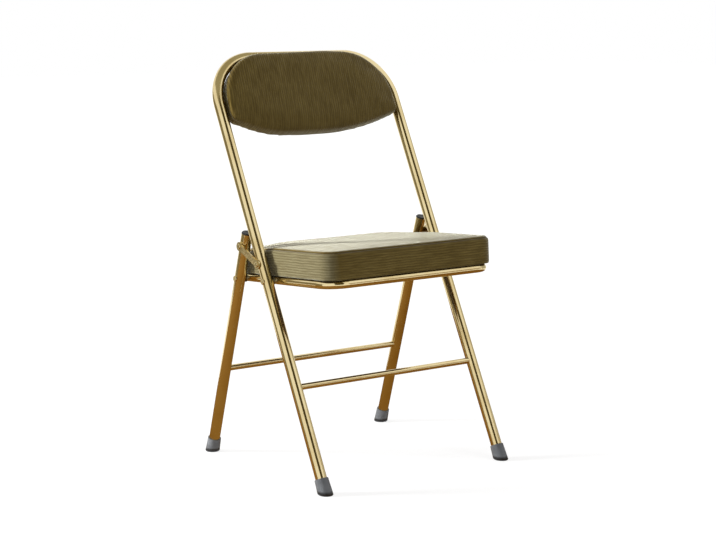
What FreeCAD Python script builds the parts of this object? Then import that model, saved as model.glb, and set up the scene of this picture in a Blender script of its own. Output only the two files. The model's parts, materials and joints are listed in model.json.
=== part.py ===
"""Folding cafe chair: a bent tube front frame with a padded back, a padded seat on a ring,
two rear legs and a pair of links that fold the chair flat.

Millimetres, +Z up, the chair faces -Y. The origin is on the floor, midway between the feet."""

import FreeCAD
import Part

import math
import os

from FreeCAD import Placement, Rotation, Vector

# Overall stance
foot_spread = 398.4          # front foot to rear foot, centre to centre on the floor
frame_half_width = 214.0     # centre plane to the centre of a leg tube
front_lean = 26.84           # front frame, degrees from upright, leaning back
rear_lean = 16.70            # rear legs, degrees from upright, leaning forward

# Leg tubes
leg_tube_radius = 11.0
leg_tube_wall = 1.5
frame_top = 887.0            # floor to the tube's centre at the top, along the front frame
frame_bend_radius = 100.0    # centre line of the top corners
rear_leg_short = 36.0        # crossing of the two leg lines to the rear tube's end, along the rear leg

# Crossbars
crossbar_radius = 6.0
front_crossbar_height = 186.0
rear_crossbar_height = 180.0

# Feet and plugs
foot_radius = 13.2
foot_flare = 1.3             # how much wider a foot is at the floor
foot_height = 30.0           # along the leg
foot_sole = 14.0             # floor to the tube's end, along the leg
foot_chamfer = 1.6
plug_stem = 12.0
plug_flange = 3.0

# Pivots
seat_pivot_height = 376.0    # seat on the front frame, above the floor
link_low_rise = 31.5         # link on the front frame, above the seat's pivot
link_high_drop = 25.9        # rear tube's end to the link on the rear leg, along the leg
seat_rivet_radius = 4.0
seat_rivet_head = 5.8
link_rivet_radius = 3.0
link_rivet_head = 5.2
rivet_head_thickness = 1.8
peened_end_radius = 4.4
peened_end_thickness = 2.0

# Open pivot in the rear leg
slot_reach = 6.1             # how far the upper link rivet travels in the leg's slot
slot_angle = 51.9            # from the leg's axis towards its rear side
slot_clearance = 0.5

# Links
link_width = 18.0
link_waist = 13.0
link_thickness = 3.0

# Seat ring
seat_tilt = 4.0              # front edge higher
ring_radius = 8.0
ring_wall = 1.2
ring_to_leg = 3.0            # room for the washer between ring and leg
ring_front = 177.5           # seat pivot to the ring's front, centre line
ring_rear = 134.0            # seat pivot to the ring's rear, centre line
ring_front_corner = 38.0
ring_rear_corner = 28.0

# Seat pad
seat_overhang = 7.5          # pad's side beyond the ring's centre line
seat_pad_front_corner = 30.0
seat_pad_height = 54.0
seat_pad_round = 7.0
seat_board_thickness = 9.0
seat_board_inset = 6.0       # fabric and foam outside the board's edge
seat_tab_offset = 95.0       # centre plane to a seat tab
seat_tab_reach = 15.0        # ring's centre line to a seat screw

# Back pad
back_gap = 3.0               # pad's edge to the tube
back_bottom = 716.0          # floor to the middle of the lower edge, along the front frame
back_smile = 36.0            # how much the lower edge rises at its ends
back_low_corner = 14.0
back_board_thickness = 8.0
back_board_inset = 6.0
back_pad_thickness = 30.0
back_pad_rear = 4.5          # frame's centre plane to the pad's rear face
back_cover_thickness = 2.0
back_cover_inset = 2.0
back_pad_round = 8.0
back_lip_rise = 14.0         # how far the pad's front reaches up over the tube

# Tabs welded to the tubes, which hold the boards
tab_width = 24.0
tab_length = 26.0
tab_thickness = 2.5
side_tab_height = 782.0      # along the front frame
top_tab_offset = 70.0        # centre plane to a top tab

# Screws
screw_radius = 2.0
screw_head_radius = 4.2
screw_head_thickness = 2.4
screw_bite = 6.0             # how deep a screw goes into its board

# Clearances
pin_clearance = 0.05         # radial, in every bored hole
seat_clearance = 0.05        # between pieces that are welded, pushed on or screwed together
running_gap = 0.3            # between faces that turn past each other
contact_gap = 0.2            # a flat face on a round one

front_up = Vector(0, math.sin(math.radians(front_lean)), math.cos(math.radians(front_lean)))
rear_up = Vector(0, -math.sin(math.radians(rear_lean)), math.cos(math.radians(rear_lean)))
rear_back = Vector(0, rear_up.z, -rear_up.y)
front_foot = Vector(0, -foot_spread / 2, 0)
rear_foot = Vector(0, foot_spread / 2, 0)
across = Vector(1, 0, 0)
forward = Vector(0, 0, 1)    # out of the back pad's front, in the frame's own plane
sides = {"left": -1, "right": 1}


def front_at(height):
    """Point on the front frame's centre line at a height above the floor."""
    return front_foot + front_up * (height / front_up.z)


def rear_at(height):
    """Point on the rear legs' centre line at a height above the floor."""
    return rear_foot + rear_up * (height / rear_up.z)


def seat_line_on_rear_leg():
    """Where the seat ring's centre line meets the rear leg."""
    start = front_at(seat_pivot_height)
    slope = math.tan(math.radians(seat_tilt))
    fall = rear_up.y / rear_up.z
    height = (start.z - slope * (rear_foot.y - start.y)) / (1 + slope * fall)
    return rear_at(height)


seat_pivot = front_at(seat_pivot_height)
rear_pivot = seat_line_on_rear_leg()
link_low = front_at(seat_pivot_height + link_low_rise)
crossing_height = foot_spread / (front_up.y / front_up.z - rear_up.y / rear_up.z)
rear_leg_top = crossing_height / rear_up.z - rear_leg_short
link_high = rear_foot + rear_up * (rear_leg_top - link_high_drop)
leg_outer_face = frame_half_width + leg_tube_radius
leg_inner_face = frame_half_width - leg_tube_radius
back_reach = leg_inner_face - back_gap
ring_outer_face = leg_inner_face - ring_to_leg
ring_half_width = ring_outer_face - ring_radius
seat_place = Placement(seat_pivot, Rotation(across, -seat_tilt))
frame_place = Placement(front_foot, Rotation(across, 90 - front_lean))


def save(name, solids):
    """Write one node, made of one solid or of several like ones."""
    shape = solids[0] if len(solids) == 1 else Part.makeCompound(solids)
    shape.exportStep("parts/" + name + ".step")


def placed(shape, placement):
    moved = shape.copy()
    moved.Placement = placement
    return moved


def rod(start, direction, length, radius):
    return Part.makeCylinder(radius, length, start, direction)


def pipe(path, radius, start, direction):
    """Solid round bar along a path that starts at a point, in a direction."""
    profile = Part.Wire(Part.makeCircle(radius, start, direction))
    return path.makePipeShell([profile], True, False)


def corner(x, y, radius, right, up):
    """Quarter circle about a centre, in the quadrant that the two signs give."""
    slant = radius * math.sqrt(0.5)
    ends = Vector(x + right * radius, y, 0), Vector(x, y + up * radius, 0)
    return Part.Arc(ends[0], Vector(x + right * slant, y + up * slant, 0), ends[1])


def rounded_outline(half_width, front, rear, front_corner, rear_corner):
    """Rectangle with rounded corners on the XY plane, front edge at -Y."""
    w = half_width
    f = front_corner
    r = rear_corner
    edges = [
        Part.LineSegment(Vector(-w + f, -front, 0), Vector(w - f, -front, 0)),
        corner(w - f, -front + f, f, 1, -1),
        Part.LineSegment(Vector(w, -front + f, 0), Vector(w, rear - r, 0)),
        corner(w - r, rear - r, r, 1, 1),
        Part.LineSegment(Vector(w - r, rear, 0), Vector(-w + r, rear, 0)),
        corner(-w + r, rear - r, r, -1, 1),
        Part.LineSegment(Vector(-w, rear - r, 0), Vector(-w, -front + f, 0)),
        corner(-w + f, -front + f, f, -1, -1),
    ]
    return Part.Wire([edge.toShape() for edge in edges])


def slab(outline, bottom, thickness):
    solid = Part.Face(outline).extrude(Vector(0, 0, thickness))
    solid.translate(Vector(0, 0, bottom))
    return solid


def round_rim(solid, level, radius):
    """Round the edges of a slab that lie at one level."""
    rim = [e for e in solid.Edges if max(abs(v.Z - level) for v in e.Vertexes) < 1e-4]
    return solid.makeFillet(radius, rim)


def frame_path(bottom):
    """Centre line of the front frame, up one leg, over the top and down the other."""
    w = frame_half_width
    r = frame_bend_radius
    s = r * math.sqrt(0.5)

    def at(x, along):
        return front_foot + across * x + front_up * along

    edges = [
        Part.LineSegment(at(-w, bottom), at(-w, frame_top - r)),
        Part.Arc(at(-w, frame_top - r), at(-w + r - s, frame_top - r + s), at(-w + r, frame_top)),
        Part.LineSegment(at(-w + r, frame_top), at(w - r, frame_top)),
        Part.Arc(at(w - r, frame_top), at(w - r + s, frame_top - r + s), at(w, frame_top - r)),
        Part.LineSegment(at(w, frame_top - r), at(w, bottom)),
    ]
    return Part.Wire([edge.toShape() for edge in edges])


def frame_bar(radius, bottom):
    start = front_foot - across * frame_half_width + front_up * bottom
    return pipe(frame_path(bottom), radius, start, front_up)


def rear_bar(side, radius, bottom, top):
    start = rear_foot + across * (side * frame_half_width) + rear_up * bottom
    return rod(start, rear_up, top - bottom, radius)


def cross_hole(point, radius):
    """Bore across the whole chair at a pivot."""
    reach = leg_outer_face + leg_tube_radius
    return rod(point - across * reach, across, 2 * reach, radius)


def front_frame_tube():
    tube = frame_bar(leg_tube_radius, foot_sole).cut(frame_bar(leg_tube_radius - leg_tube_wall, foot_sole))
    tube = tube.cut(cross_hole(seat_pivot, seat_rivet_radius + pin_clearance))
    return tube.cut(cross_hole(link_low, link_rivet_radius + pin_clearance))


def leg_slot(side):
    """Slot in the rear leg's outer wall where the upper link rivet has room to wander."""
    angle = math.radians(slot_angle)
    towards = rear_up * math.cos(angle) + rear_back * math.sin(angle)
    radius = link_rivet_radius + slot_clearance
    start = across * (side * frame_half_width) + link_high
    depth = across * (side * 2 * leg_tube_radius)
    turned = towards.cross(across) * radius
    far = start + towards * slot_reach
    corners = [start + turned, far + turned, far - turned, start - turned, start + turned]
    flat = Part.Face(Part.makePolygon(corners)).extrude(depth)
    ends = [rod(point, across * side, depth.Length, radius) for point in (start, far)]
    return flat.fuse(ends)


def rear_leg(side):
    leg = rear_bar(side, leg_tube_radius, foot_sole, rear_leg_top)
    leg = leg.cut(rear_bar(side, leg_tube_radius - leg_tube_wall, foot_sole, rear_leg_top))
    leg = leg.cut(cross_hole(rear_pivot, seat_rivet_radius + pin_clearance))
    return leg.cut(leg_slot(side))


def crossbar(centre, legs):
    """Round bar whose ends are saddled to the legs."""
    bar = rod(centre - across * frame_half_width, across, 2 * frame_half_width, crossbar_radius)
    return bar.cut(legs).Solids[0]


def foot(side, origin, up, leg_bar):
    """Plastic cup on a tube's end, cut flat by the floor."""
    below = 2 * foot_radius
    start = origin + across * (side * frame_half_width) - up * below
    length = below + foot_height
    wide = foot_radius + foot_flare * length / foot_height
    cup = Part.makeCone(wide, foot_radius, length, start, up)
    floor = Part.makeBox(8 * below, 8 * below, 4 * below)
    floor.translate(Vector(start.x - 4 * below, start.y - 4 * below, -4 * below))
    cup = cup.cut(floor)
    sole = [e for e in cup.Edges if e.BoundBox.ZMax < 1e-4]
    return cup.makeChamfer(foot_chamfer, sole).cut(leg_bar)


def rear_plug(side):
    """Plastic plug in the open top of a rear leg."""
    base = rear_foot + across * (side * frame_half_width)
    stem_radius = leg_tube_radius - leg_tube_wall - seat_clearance
    stem = rod(base + rear_up * (rear_leg_top - plug_stem), rear_up, plug_stem + seat_clearance, stem_radius)
    flange = rod(base + rear_up * (rear_leg_top + seat_clearance), rear_up, plug_flange, leg_tube_radius)
    rim = [e for e in flange.Edges if rear_up.dot(e.CenterOfMass - base) > rear_leg_top + plug_flange - 1e-3]
    return stem.fuse(flange.makeChamfer(plug_flange * 0.5, rim)).removeSplitter()


def rivet(side, point, radius, head, inner, head_at):
    """Rivet across a side of the chair: shank from an inner face, low domed head outside."""
    shank = rod(point + across * (side * inner), across * side, head_at - inner, radius)
    cap = rod(point + across * (side * head_at), across * side, rivet_head_thickness, head)
    outer = [e for e in cap.Edges if side * e.CenterOfMass.x > head_at + rivet_head_thickness - 1e-3]
    return shank.fuse(cap.makeFillet(rivet_head_thickness * 0.7, outer))


def seat_rivet(side, point):
    """Rivet through the ring and a leg, with a head at both ends."""
    inner = ring_half_width - ring_radius - contact_gap
    pin = rivet(side, point, seat_rivet_radius, seat_rivet_head, inner, leg_outer_face + contact_gap)
    cap = rod(point + across * (side * inner), across * -side, rivet_head_thickness, seat_rivet_head)
    return pin.fuse(cap).removeSplitter()


def seat_washer(side, point):
    """Washer that keeps the ring off a leg."""
    start = point + across * (side * (ring_outer_face + contact_gap))
    thickness = leg_inner_face - ring_outer_face - 2 * contact_gap
    ring = rod(start, across * side, thickness, ring_radius)
    return ring.cut(rod(start, across * side, thickness, seat_rivet_radius + pin_clearance))


link_inner = leg_outer_face + running_gap
link_outer = link_inner + link_thickness


def link_low_rivet(side):
    inner = leg_inner_face + leg_tube_wall / 2
    pin = rivet(side, link_low, link_rivet_radius, link_rivet_head, inner, link_outer + contact_gap)
    return pin.removeSplitter()


def link_high_rivet(side):
    """Rivet that rides on the link, peened inside the hollow rear leg."""
    inner = frame_half_width + peened_end_thickness
    pin = rivet(side, link_high, link_rivet_radius, link_rivet_head, inner, link_outer + contact_gap)
    peened = rod(link_high + across * (side * inner), across * -side, peened_end_thickness, peened_end_radius)
    return pin.fuse(peened).removeSplitter()


def link(side):
    """Flat stamped bar with an eye at each end and a narrower waist."""
    start = across * (side * link_inner)
    depth = across * (side * link_thickness)
    along = link_high - link_low
    square = along.cross(across).normalize()
    ends = (link_low, link_high)
    eyes = [rod(point + start, across * side, link_thickness, link_width / 2) for point in ends]
    edge = square * (link_waist / 2)
    corners = [link_low + edge, link_high + edge, link_high - edge, link_low - edge, link_low + edge]
    waist = Part.Face(Part.makePolygon([corner + start for corner in corners])).extrude(depth)
    bar = waist.fuse(eyes).removeSplitter()
    for point in ends:
        bar = bar.cut(rod(point + start, across * side, link_thickness, link_rivet_radius + pin_clearance))
    return bar


def seat_screw_places():
    """Screws inside the ring's front and rear bars, on the seat's own plane."""
    rows = (-ring_front + seat_tab_reach, ring_rear - seat_tab_reach)
    return [Vector(x, y, 0) for x in (-seat_tab_offset, seat_tab_offset) for y in rows]


def ring_bar(radius):
    outline = rounded_outline(ring_half_width, ring_front, ring_rear, ring_front_corner, ring_rear_corner)
    return pipe(outline, radius, Vector(-ring_half_width + ring_front_corner, -ring_front, 0), across)


def seat_ring():
    ring = placed(ring_bar(ring_radius).cut(ring_bar(ring_radius - ring_wall)), seat_place)
    for point in (seat_pivot, rear_pivot):
        ring = ring.cut(cross_hole(point, seat_rivet_radius + pin_clearance))
    return ring


def seat_outline(inset):
    grow = seat_overhang - inset
    return rounded_outline(ring_half_width + grow, ring_front + grow, ring_rear + grow,
                           seat_pad_front_corner - inset, ring_rear_corner + grow)


seat_pad_bottom = ring_radius + contact_gap


def seat_board():
    board = slab(seat_outline(seat_board_inset), seat_pad_bottom, seat_board_thickness)
    for place in seat_screw_places():
        board = board.cut(rod(place, Vector(0, 0, 1), seat_pad_bottom + screw_bite + pin_clearance,
                              screw_radius + pin_clearance))
    return placed(board, seat_place)


def seat_cushion():
    """Foam and fabric that cap the board and wrap its edge."""
    pad = slab(seat_outline(0), seat_pad_bottom, seat_pad_height)
    pad = round_rim(pad, seat_pad_bottom + seat_pad_height, seat_pad_round)
    pocket = slab(seat_outline(seat_board_inset - seat_clearance), seat_pad_bottom,
                  seat_board_thickness + seat_clearance)
    return placed(pad.cut(pocket), seat_place)


seat_tab_top = seat_pad_bottom - contact_gap


def seat_tab(place, ring_clear):
    """Plate welded inside the ring, under the board, with a hole for its screw."""
    outward = math.copysign(1, place.y)
    inner_edge = place.y - outward * tab_width / 2
    ring_line = place.y + outward * seat_tab_reach
    plate = Part.makeBox(tab_length, abs(ring_line - inner_edge), tab_thickness)
    corner = Vector(place.x - tab_length / 2, min(inner_edge, ring_line), seat_tab_top - tab_thickness)
    plate.translate(corner)
    hole = rod(place + Vector(0, 0, corner.z), Vector(0, 0, 1), tab_thickness, screw_radius + pin_clearance)
    return placed(plate.cut(hole).cut(ring_clear).Solids[0], seat_place)


def seat_screw(place):
    head_top = seat_tab_top - tab_thickness - seat_clearance
    up = Vector(0, 0, 1)
    head = rod(place + up * (head_top - screw_head_thickness), up, screw_head_thickness, screw_head_radius)
    shank = rod(place + up * head_top, up, seat_pad_bottom + screw_bite - head_top, screw_radius)
    return placed(head.fuse(shank).removeSplitter(), seat_place)


def back_outline(inset, lip_rise):
    """Back pad seen from the front, in the frame's own plane: Y runs up along the frame."""
    w = back_reach - inset
    top = frame_top - leg_tube_radius - back_gap - inset + lip_rise
    r = frame_bend_radius - leg_tube_radius - back_gap - inset + lip_rise
    low = back_bottom + inset
    end = low + back_smile
    edges = [
        Part.Arc(Vector(-w, end, 0), Vector(0, low, 0), Vector(w, end, 0)),
        Part.LineSegment(Vector(w, end, 0), Vector(w, top - r, 0)),
        corner(w - r, top - r, r, 1, 1),
        Part.LineSegment(Vector(w - r, top, 0), Vector(-w + r, top, 0)),
        corner(-w + r, top - r, r, -1, 1),
        Part.LineSegment(Vector(-w, top - r, 0), Vector(-w, end, 0)),
    ]
    return Part.Wire([edge.toShape() for edge in edges])


def back_slab(inset, rear, thickness, lip_rise=0):
    """Slab whose rear face lies behind the frame's plane, with its lower corners rounded."""
    solid = slab(back_outline(inset, lip_rise), -rear, thickness)
    reach = back_reach - inset
    corners = [e for e in solid.Edges
               if abs(abs(e.CenterOfMass.x) - reach) < 1e-3
               and abs(e.BoundBox.YLength) < 1e-3
               and e.CenterOfMass.y < back_bottom + inset + back_smile + 1e-3]
    return solid.makeFillet(back_low_corner - inset, corners)


def back_screw_places():
    """Where the tabs hold the board, in the frame's own plane."""
    inner = frame_half_width - leg_tube_radius - tab_width / 2
    top = frame_top - leg_tube_radius - tab_width / 2
    side_tabs = [(side * inner, side_tab_height) for side in sides.values()]
    top_tabs = [(side * top_tab_offset, top) for side in sides.values()]
    return side_tabs + top_tabs


def backrest_board():
    board = back_slab(back_board_inset, back_pad_rear, back_board_thickness)
    for x, y in back_screw_places():
        start = Vector(x, y, -back_pad_rear)
        board = board.cut(rod(start, forward, screw_bite + pin_clearance, screw_radius + pin_clearance))
    return placed(board, frame_place)


def backrest_cushion():
    """Foam and fabric over the board's front and edge, which swell over the front of the tube."""
    front = back_pad_thickness - back_pad_rear
    lip = leg_tube_radius + contact_gap
    pad = back_slab(0, back_pad_rear, lip + back_pad_rear)
    pad = pad.fuse(back_slab(0, -lip, front - lip, back_lip_rise)).removeSplitter()
    pad = round_rim(pad, front, back_pad_round)
    pocket_depth = back_board_thickness + seat_clearance
    pocket = back_slab(back_board_inset - seat_clearance, back_pad_rear, pocket_depth)
    return placed(pad.cut(pocket), frame_place)


back_face = back_pad_rear + seat_clearance + back_cover_thickness


def backrest_rear_cover():
    """Fabric panel that closes the back pad from behind."""
    cover = back_slab(back_cover_inset, back_face, back_cover_thickness)
    for x, y in back_screw_places():
        bore = rod(Vector(x, y, -back_face), forward, back_cover_thickness, screw_radius + pin_clearance)
        cover = cover.cut(bore)
    return placed(cover, frame_place)


def backrest_tab(x, y, frame_clear):
    """Plate welded inside the loop, behind the board, with a hole for its screw."""
    reach = tab_width / 2 + leg_tube_radius
    at_side = abs(x) > top_tab_offset
    wide = reach if at_side else tab_length / 2
    tall = tab_length / 2 if at_side else reach
    plate = Part.makeBox(2 * wide, 2 * tall, tab_thickness)
    shift = wide - tab_width / 2 if at_side else 0
    rise = 0 if at_side else tall - tab_width / 2
    rear = back_face + contact_gap + tab_thickness
    plate.translate(Vector(x + math.copysign(shift, x) - wide, y + rise - tall, -rear))
    plate = plate.cut(rod(Vector(x, y, -rear), forward, tab_thickness, screw_radius + pin_clearance))
    solids = placed(plate, frame_place).cut(frame_clear).Solids
    middle = frame_place.multVec(Vector(x, y, -rear))
    return min(solids, key=lambda solid: solid.CenterOfMass.distanceToPoint(middle))


def backrest_screw(x, y):
    rear = -back_face - contact_gap - tab_thickness
    head_at = Vector(x, y, rear - seat_clearance)
    head = rod(head_at - forward * screw_head_thickness, forward, screw_head_thickness, screw_head_radius)
    shank = rod(head_at, forward, screw_bite - back_pad_rear - head_at.z, screw_radius)
    return placed(head.fuse(shank).removeSplitter(), frame_place)


os.makedirs("parts", exist_ok=True)

# Front frame
front_clear = frame_bar(leg_tube_radius + seat_clearance, foot_sole)
save("front_frame_tube", [front_frame_tube()])
save("front_crossbar", [crossbar(front_at(front_crossbar_height), front_clear)])
for name, side in sides.items():
    save("front_foot_" + name, [foot(side, front_foot, front_up, front_clear)])
save("backrest_board", [backrest_board()])
save("backrest_cushion", [backrest_cushion()])
save("backrest_rear_cover", [backrest_rear_cover()])
save("backrest_tabs", [backrest_tab(x, y, front_clear) for x, y in back_screw_places()])
save("backrest_screws", [backrest_screw(x, y) for x, y in back_screw_places()])
save("link_lower_rivets", [link_low_rivet(side) for side in sides.values()])

# Seat
save("seat_ring", [seat_ring()])
save("seat_board", [seat_board()])
save("seat_cushion", [seat_cushion()])
save("seat_front_rivets", [seat_rivet(side, seat_pivot) for side in sides.values()])
save("seat_rear_rivets", [seat_rivet(side, rear_pivot) for side in sides.values()])
seat_pivots = (seat_pivot, rear_pivot)
save("seat_washers", [seat_washer(side, point) for side in sides.values() for point in seat_pivots])
ring_clear = ring_bar(ring_radius + seat_clearance)
save("seat_tabs", [seat_tab(place, ring_clear) for place in seat_screw_places()])
save("seat_screws", [seat_screw(place) for place in seat_screw_places()])

# Rear legs
rear_clear_radius = leg_tube_radius + seat_clearance
rear_clear = {side: rear_bar(side, rear_clear_radius, foot_sole, rear_leg_top) for side in sides.values()}
both_rear = Part.makeCompound(list(rear_clear.values()))
save("rear_crossbar", [crossbar(rear_at(rear_crossbar_height), both_rear)])
for name, side in sides.items():
    save("rear_leg_" + name, [rear_leg(side)])
    save("rear_foot_" + name, [foot(side, rear_foot, rear_up, rear_clear[side])])
    save("rear_leg_plug_" + name, [rear_plug(side)])

# Links
for name, side in sides.items():
    save("link_" + name, [link(side)])
save("link_upper_rivets", [link_high_rivet(side) for side in sides.values()])
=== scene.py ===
"""Folding cafe chair: the finishes of its pieces, its padded seat and back, and a pale studio."""

import json
import math

import bpy
import numpy as np
from bpy.props import FloatProperty, FloatVectorProperty, PointerProperty
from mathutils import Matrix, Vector


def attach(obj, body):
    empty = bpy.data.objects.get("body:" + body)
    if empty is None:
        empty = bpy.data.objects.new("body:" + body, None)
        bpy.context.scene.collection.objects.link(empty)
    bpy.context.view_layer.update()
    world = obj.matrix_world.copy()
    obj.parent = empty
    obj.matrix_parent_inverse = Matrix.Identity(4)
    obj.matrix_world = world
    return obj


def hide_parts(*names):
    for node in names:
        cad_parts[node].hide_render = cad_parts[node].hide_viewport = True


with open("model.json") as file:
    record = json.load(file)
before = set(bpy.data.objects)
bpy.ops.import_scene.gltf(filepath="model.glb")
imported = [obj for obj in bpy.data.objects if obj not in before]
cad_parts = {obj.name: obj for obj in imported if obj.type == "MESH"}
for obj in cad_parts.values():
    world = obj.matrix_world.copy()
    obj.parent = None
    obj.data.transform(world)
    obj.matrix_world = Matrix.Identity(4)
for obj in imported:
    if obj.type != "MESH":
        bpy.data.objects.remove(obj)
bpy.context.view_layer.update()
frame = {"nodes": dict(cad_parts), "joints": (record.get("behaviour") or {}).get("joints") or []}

bl_info = {
    "name": "Folding cafe chair",
    "version": (1, 0, 0),
    "blender": (4, 5, 0),
    "location": "View3D > Sidebar > Chair",
    "description": "Finishes, padding and studio for a folding chair with a tube frame",
    "category": "Object",
}

NODES = frame["nodes"]
SEAT_PIVOT = Vector(next(j["pos_m"] for j in frame["joints"] if j["name"] == "seat_fold"))
TUBE_NODES = ("front_frame_tube", "front_crossbar", "rear_crossbar", "rear_leg_left", "rear_leg_right",
              "seat_ring")
PLATE_NODES = ("link_left", "link_right", "backrest_tabs", "seat_tabs", "link_lower_rivets",
               "link_upper_rivets", "seat_front_rivets", "seat_rear_rivets")
PLASTIC_NODES = ("front_foot_left", "front_foot_right", "rear_foot_left", "rear_foot_right",
                 "rear_leg_plug_left", "rear_leg_plug_right")
BOARD_NODES = ("seat_board", "backrest_board")
STEEL_NODES = ("seat_washers", "seat_screws", "backrest_screws")


# Settings

class ChairFinish(bpy.types.PropertyGroup):
    """Colours and fine sizes of the surfaces"""
    gold: FloatVectorProperty(
        name="Gold", description="Polished plating on tubes and plates", subtype="COLOR",
        size=3, min=0, max=1, default=(0.80, 0.67, 0.38))
    gold_shade: FloatVectorProperty(
        name="Gold, dulled", description="Plating where hands have dulled it", subtype="COLOR",
        size=3, min=0, max=1, default=(0.70, 0.55, 0.27))
    pile: FloatVectorProperty(
        name="Corduroy", description="Crest of a wale", subtype="COLOR",
        size=3, min=0, max=1, default=(0.100, 0.066, 0.012))
    pile_brushed: FloatVectorProperty(
        name="Corduroy, brushed", description="Pile that hands have brushed the other way",
        subtype="COLOR", size=3, min=0, max=1, default=(0.150, 0.106, 0.028))
    pile_valley: FloatVectorProperty(
        name="Corduroy valley", description="Ground cloth between two wales", subtype="COLOR",
        size=3, min=0, max=1, default=(0.046, 0.029, 0.006))
    # Painted light: a paler pile colour for the seat's left wall, which faces the key lamp.
    pile_painted_light: FloatVectorProperty(
        name="Corduroy, painted light", description="Seat wall painted lighter where it faces the key lamp", subtype="COLOR",
        size=3, min=0, max=1, default=(0.154, 0.133, 0.070))
    pile_sheen: FloatVectorProperty(
        name="Corduroy sheen", description="Light on the tips of the pile", subtype="COLOR",
        size=3, min=0, max=1, default=(0.90, 0.90, 0.74))
    wale_pitch: FloatProperty(
        name="Wale pitch", description="From one wale to the next", subtype="DISTANCE", unit="LENGTH",
        min=0.001, max=0.02, default=0.0048)
    plastic: FloatVectorProperty(
        name="Plastic", description="Feet and leg plugs", subtype="COLOR",
        size=3, min=0, max=1, default=(0.106, 0.112, 0.120))
    # Dark boards, which the gold under the seat mirrors almost black.
    wood: FloatVectorProperty(
        name="Plywood", description="Dark seat and back boards", subtype="COLOR",
        size=3, min=0, max=1, default=(0.062, 0.043, 0.028))
    wood_grain: FloatVectorProperty(
        name="Plywood grain", description="Darker grain of the boards", subtype="COLOR",
        size=3, min=0, max=1, default=(0.028, 0.019, 0.012))
    steel: FloatVectorProperty(
        name="Zinc", description="Washers and screws", subtype="COLOR",
        size=3, min=0, max=1, default=(0.56, 0.57, 0.56))


class ChairPadding(bpy.types.PropertyGroup):
    """Shape of the padded seat and back"""
    seat_tilt: FloatProperty(
        name="Seat tilt", description="How much higher the seat's front edge lies", subtype="ANGLE",
        unit="ROTATION", default=math.radians(4.0))
    back_lean: FloatProperty(
        name="Back lean", description="Front frame from upright", subtype="ANGLE",
        unit="ROTATION", default=math.radians(26.84))
    voxel: FloatProperty(
        name="Cloth cell", description="Size of the simulated cloth's faces", subtype="DISTANCE",
        unit="LENGTH", min=0.003, max=0.01, default=0.0045)
    pressure: FloatProperty(
        name="Stuffing pressure", description="How hard the foam pushes at its cover",
        min=0, default=4.0)
    seat_crown: FloatProperty(
        name="Seat crown", description="Most that the seat's cover may rise", subtype="DISTANCE",
        unit="LENGTH", default=0.006)
    seat_edge: FloatProperty(
        name="Seat edge", description="Round of the seat's top edge", subtype="DISTANCE",
        unit="LENGTH", default=0.007)
    seat_front_corner: FloatProperty(
        name="Front corners", description="Round of the seat's front corners, seen from above",
        subtype="DISTANCE", unit="LENGTH", default=0.030)
    seat_rear_corner: FloatProperty(
        name="Rear corners", description="Round of the seat's rear corners, seen from above",
        subtype="DISTANCE", unit="LENGTH", default=0.0355)
    seat_slump: FloatProperty(
        name="Rear slump", description="How far the seat's rear edge has sunk", subtype="DISTANCE",
        unit="LENGTH", default=0.014)
    wall_swell: FloatProperty(
        name="Wall swell", description="Most that the seat's walls stand out", subtype="DISTANCE",
        unit="LENGTH", default=0.002)
    seam_depth: FloatProperty(
        name="Seam depth", description="How deep the seam pulls the cover in", subtype="DISTANCE",
        unit="LENGTH", default=0.0014)
    seam_width: FloatProperty(
        name="Seam width", description="Reach of the seam's pull to either side", subtype="DISTANCE",
        unit="LENGTH", default=0.0030)
    back_crown: FloatProperty(
        name="Back crown", description="Most that the back's cover may rise", subtype="DISTANCE",
        unit="LENGTH", default=0.004)
    edge_press: FloatProperty(
        name="Edge press", description="How far the back's edge swells towards the loop",
        subtype="DISTANCE", unit="LENGTH", default=0.0022)
    side_lap: FloatProperty(
        name="Side lap", description="How much further the back's front swells at the sides",
        subtype="DISTANCE", unit="LENGTH", default=0.003)
    top_lap: FloatProperty(
        name="Top lap", description="How much further the back's front rises over the top tube",
        subtype="DISTANCE", unit="LENGTH", default=0.003)
    low_sag: FloatProperty(
        name="Low sag", description="How much fuller one lower end hangs", subtype="DISTANCE",
        unit="LENGTH", default=0.0095)
    cover_crown: FloatProperty(
        name="Rear cover crown", description="How far the cover behind the back stands out",
        subtype="DISTANCE", unit="LENGTH", default=0.0024)
    loop_bend: FloatProperty(
        name="Loop bend", description="Bend of the frame's top corners, centre line",
        subtype="DISTANCE", unit="LENGTH", default=0.100)


class ChairStudio(bpy.types.PropertyGroup):
    """Camera and daylight"""
    camera_place: FloatVectorProperty(
        name="Camera", description="Where the camera stands", subtype="TRANSLATION", unit="LENGTH",
        size=3, default=(-2.04515, -2.79759, 0.91972))
    azimuth: FloatProperty(
        name="Azimuth", description="Turn of the camera round the chair", subtype="ANGLE",
        unit="ROTATION", default=math.radians(-36.2577))
    elevation: FloatProperty(
        name="Elevation", description="How far the camera looks down", subtype="ANGLE",
        unit="ROTATION", default=math.radians(8.9044))
    lens: FloatProperty(
        name="Lens", description="Focal length in millimetres on a 36 mm sensor",
        subtype="DISTANCE_CAMERA", unit="CAMERA", default=88.99)
    daylight: FloatProperty(
        name="Daylight", description="Even light of the room", min=0, default=0.40)


def settings():
    """The finish, the padding and the studio, in that order."""
    scene = bpy.context.scene
    return scene.chair_finish, scene.chair_padding, scene.chair_studio


# Shader helpers

FLOAT = "NodeSocketFloat"
VECTOR = "NodeSocketVector"


def opaque(colour):
    """A colour with its alpha, as colour sockets take it."""
    return (*colour, 1.0)


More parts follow.
